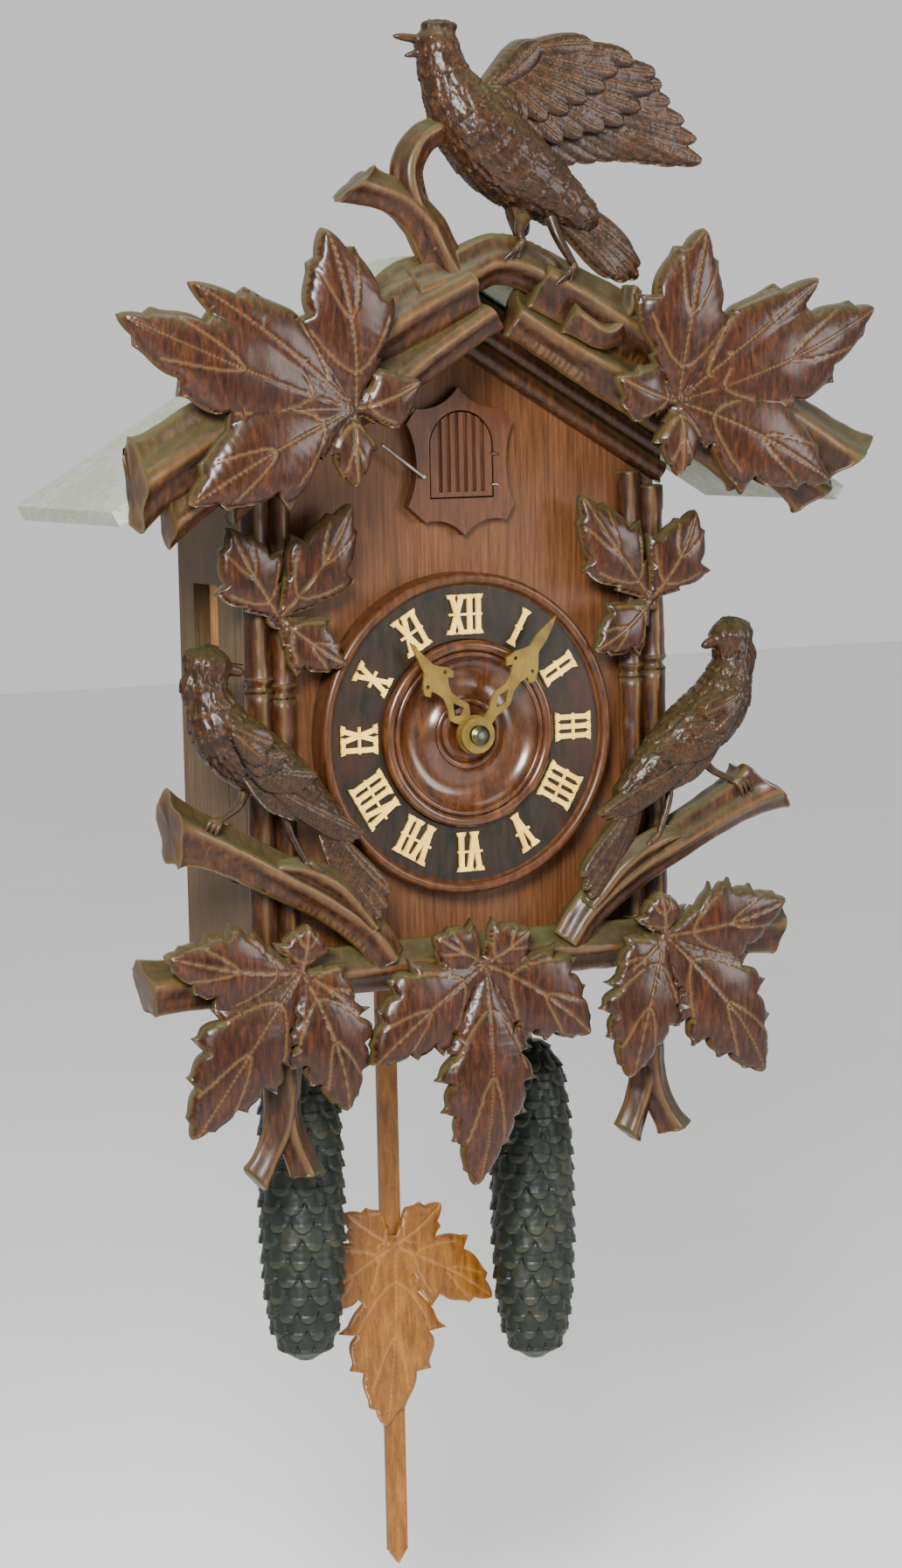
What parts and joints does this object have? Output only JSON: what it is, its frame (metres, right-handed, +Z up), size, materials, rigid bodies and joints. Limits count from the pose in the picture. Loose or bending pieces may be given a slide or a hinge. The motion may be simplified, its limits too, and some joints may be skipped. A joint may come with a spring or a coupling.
{
  "type": "cuckoo clock",
  "caption": "Wall cuckoo clock: carved gabled case with leaves and birds, roman dial, cuckoo door, chain-hung cone weights and leaf pendulum.",
  "frame": {"origin": "centre of the hanging hole in the hanger plate, in the plane of the wall", "axes": "+Z up, +Y into the wall, +X to the right seen from the front; the dial faces -Y"},
  "size_m": [0.3536, 0.1387, 0.678],
  "materials": {
    "carved": "hand-carved walnut, dark red-brown stain, waxed, paler veins and edges",
    "case_wood": "mid-brown planed wood with fine vertical grain",
    "roof_wood": "aged grey-green softwood board",
    "back_wood": "unfinished softwood",
    "dial_wood": "ebonised chapter ring with a polished red-brown rim",
    "dial_centre_wood": "polished red-brown turned wood",
    "bone": "fretted bone, cream to mustard",
    "nut_brass": "dark patinated brass",
    "brass": "dull brass",
    "steel": "dull drawn steel wire and sheet",
    "raw_wood": "raw softwood",
    "cuckoo_paint": "small carved and painted bird",
    "cone_iron": "cast iron, green-black with brown patina",
    "pendulum_wood": "honey-coloured lime wood, waxed"
  },
  "bodies": {
    "case": {"front_panel": "case_wood", "side_panel_left": "case_wood", "side_panel_right": "case_wood", "bottom_board": "case_wood", "back_board": "back_wood", "roof_boards": "roof_wood", "hanger_plate": "steel", "side_door_hinges": "brass", "corner_posts": "carved", "gable_mouldings": "carved", "bark_logs": "carved", "crown_branch": "carved", "crown_bird": "carved", "top_leaf_left": "carved", "top_leaf_right": "carved", "sprig_leaves": "carved", "bottom_rail": "carved", "bottom_leaf_left": "carved", "bottom_leaf_centre": "carved", "bottom_leaf_right": "carved", "forked_twigs": "carved", "perch_branches": "carved", "side_bird_left": "carved", "side_bird_right": "carved", "dial_board": "dial_wood", "dial_centre": "dial_centre_wood", "numerals": "bone", "door_shield": "carved", "bird_shelf": "raw_wood", "movement_front_plate": "brass", "movement_back_plate": "brass", "whistle_boxes": "raw_wood"},
    "back_door": {"back_door": "back_wood", "gong": "steel"},
    "back_button": {"back_door_button": "steel"},
    "side_door": {"side_door": "case_wood"},
    "minute": {"minute_hand": "bone", "hand_nut": "nut_brass", "minute_arbor": "steel"},
    "hour": {"hour_hand": "bone", "hour_wheel": "brass"},
    "minute_wheel": {"minute_wheel": "brass"},
    "cuckoo_door": {"cuckoo_door": "carved"},
    "cuckoo": {"cuckoo_bird": "cuckoo_paint"},
    "latch": {"door_latch_wire": "steel"},
    "time_wheel": {"time_great_wheel": "brass"},
    "strike_wheel": {"strike_great_wheel": "brass"},
    "escape": {"escape_wheel": "brass"},
    "verge": {"verge_crutch": "steel"},
    "hammer": {"gong_hammer": "steel"},
    "bellows_left": {"bellows_top_left": "raw_wood"},
    "bellows_right": {"bellows_top_right": "raw_wood"},
    "time_weight": {"time_chain": "steel", "cone_weight_left": "cone_iron"},
    "time_pull": {"time_chain_free_end": "steel"},
    "strike_weight": {"strike_chain": "steel", "cone_weight_right": "cone_iron"},
    "strike_pull": {"strike_chain_free_end": "steel"},
    "pendulum": {"pendulum_rod": "pendulum_wood", "pendulum_leaf": "pendulum_wood"}
  },
  "joints": [
    {"name": "minute_hand_turn", "type": "hinge", "parent": "case", "child": "minute", "pos_m": [0, -0.09, -0.165], "axis": [0, 1, 0], "continuous": true},
    {"name": "hour_hand_turn", "type": "hinge", "parent": "case", "child": "hour", "pos_m": [0, -0.08, -0.165], "axis": [0, 1, 0], "continuous": true},
    {"name": "minute_wheel_turn", "type": "hinge", "parent": "case", "child": "minute_wheel", "pos_m": [-0.01198, -0.058, -0.15597], "axis": [0, 1, 0], "continuous": true},
    {"name": "time_weight_run", "type": "slide", "parent": "case", "child": "time_weight", "axis": [0, 0, 1], "range_m": [-0.034, 0.01]},
    {"name": "time_wheel_turn", "type": "hinge", "parent": "case", "child": "time_wheel", "pos_m": [-0.0505, -0.036, -0.187], "axis": [0, 1, 0], "range_deg": [-160, 50]},
    {"name": "time_pull_run", "type": "slide", "parent": "case", "child": "time_pull", "axis": [0, 0, 1], "range_m": [-0.0101, 0.0341]},
    {"name": "strike_weight_run", "type": "slide", "parent": "case", "child": "strike_weight", "axis": [0, 0, 1], "range_m": [-0.034, 0.01]},
    {"name": "strike_wheel_turn", "type": "hinge", "parent": "case", "child": "strike_wheel", "pos_m": [0.0385, -0.036, -0.187], "axis": [0, 1, 0], "range_deg": [-50, 160]},
    {"name": "strike_pull_run", "type": "slide", "parent": "case", "child": "strike_pull", "axis": [0, 0, 1], "range_m": [-0.0101, 0.0341]},
    {"name": "pendulum_swing", "type": "hinge", "parent": "case", "child": "pendulum", "pos_m": [-0.009, -0.011, -0.121], "axis": [0, 1, 0], "range_deg": [-4, 4]},
    {"name": "verge_rock", "type": "hinge", "parent": "case", "child": "verge", "pos_m": [-0.009, -0.02, -0.129], "axis": [0, 1, 0], "range_deg": [-4.9, 4.9]},
    {"name": "escape_wheel_turn", "type": "hinge", "parent": "case", "child": "escape", "pos_m": [-0.009, -0.027, -0.145], "axis": [0, 1, 0], "continuous": true},
    {"name": "cuckoo_bow", "type": "slide", "parent": "case", "child": "cuckoo", "axis": [0, -1, 0], "range_m": [0, 0.042]},
    {"name": "cuckoo_door_swing", "type": "hinge", "parent": "case", "child": "cuckoo_door", "pos_m": [0.017, -0.078, -0.046], "axis": [0, 0, 1], "range_deg": [0, 95.1]},
    {"name": "door_latch_turn", "type": "hinge", "parent": "case", "child": "latch", "pos_m": [-0.017, -0.0796, -0.055], "axis": [0, 1, 0], "range_deg": [0, 80]},
    {"name": "side_door_swing", "type": "hinge", "parent": "case", "child": "side_door", "pos_m": [-0.0997, -0.0505, -0.178], "axis": [0, 0, -1], "range_deg": [0, 100]},
    {"name": "back_door_swing", "type": "hinge", "parent": "case", "child": "back_door", "pos_m": [0.066, 0, -0.1625], "axis": [0, 0, -1], "range_deg": [0, 100]},
    {"name": "back_button_turn", "type": "hinge", "parent": "case", "child": "back_button", "pos_m": [-0.071, -0.0008, -0.163], "axis": [0, 1, 0], "range_deg": [0, 90]},
    {"name": "gong_hammer_lift", "type": "hinge", "parent": "case", "child": "hammer", "pos_m": [0.052, -0.016, -0.125], "axis": [0, -1, 0], "range_deg": [0, 25]},
    {"name": "bellows_left_lift", "type": "hinge", "parent": "case", "child": "bellows_left", "pos_m": [-0.079, -0.016, -0.088], "axis": [-1, 0, 0], "range_deg": [0, 12]},
    {"name": "bellows_right_lift", "type": "hinge", "parent": "case", "child": "bellows_right", "pos_m": [0.079, -0.016, -0.088], "axis": [-1, 0, 0], "range_deg": [0, 12]}
  ],
  "couplings": [
    {"joint": "hour_hand_turn", "follows": "minute_hand_turn", "ratio": 0.083333},
    {"joint": "minute_wheel_turn", "follows": "minute_hand_turn", "ratio": -0.33333},
    {"joint": "time_wheel_turn", "follows": "time_weight_run", "rad_per_m": 80},
    {"joint": "time_pull_run", "follows": "time_weight_run", "ratio": -1},
    {"joint": "strike_wheel_turn", "follows": "strike_weight_run", "rad_per_m": -80},
    {"joint": "strike_pull_run", "follows": "strike_weight_run", "ratio": -1},
    {"joint": "verge_rock", "follows": "pendulum_swing", "ratio": 1.195},
    {"joint": "cuckoo_door_swing", "follows": "cuckoo_bow", "rad_per_m": 39.478}
  ]
}
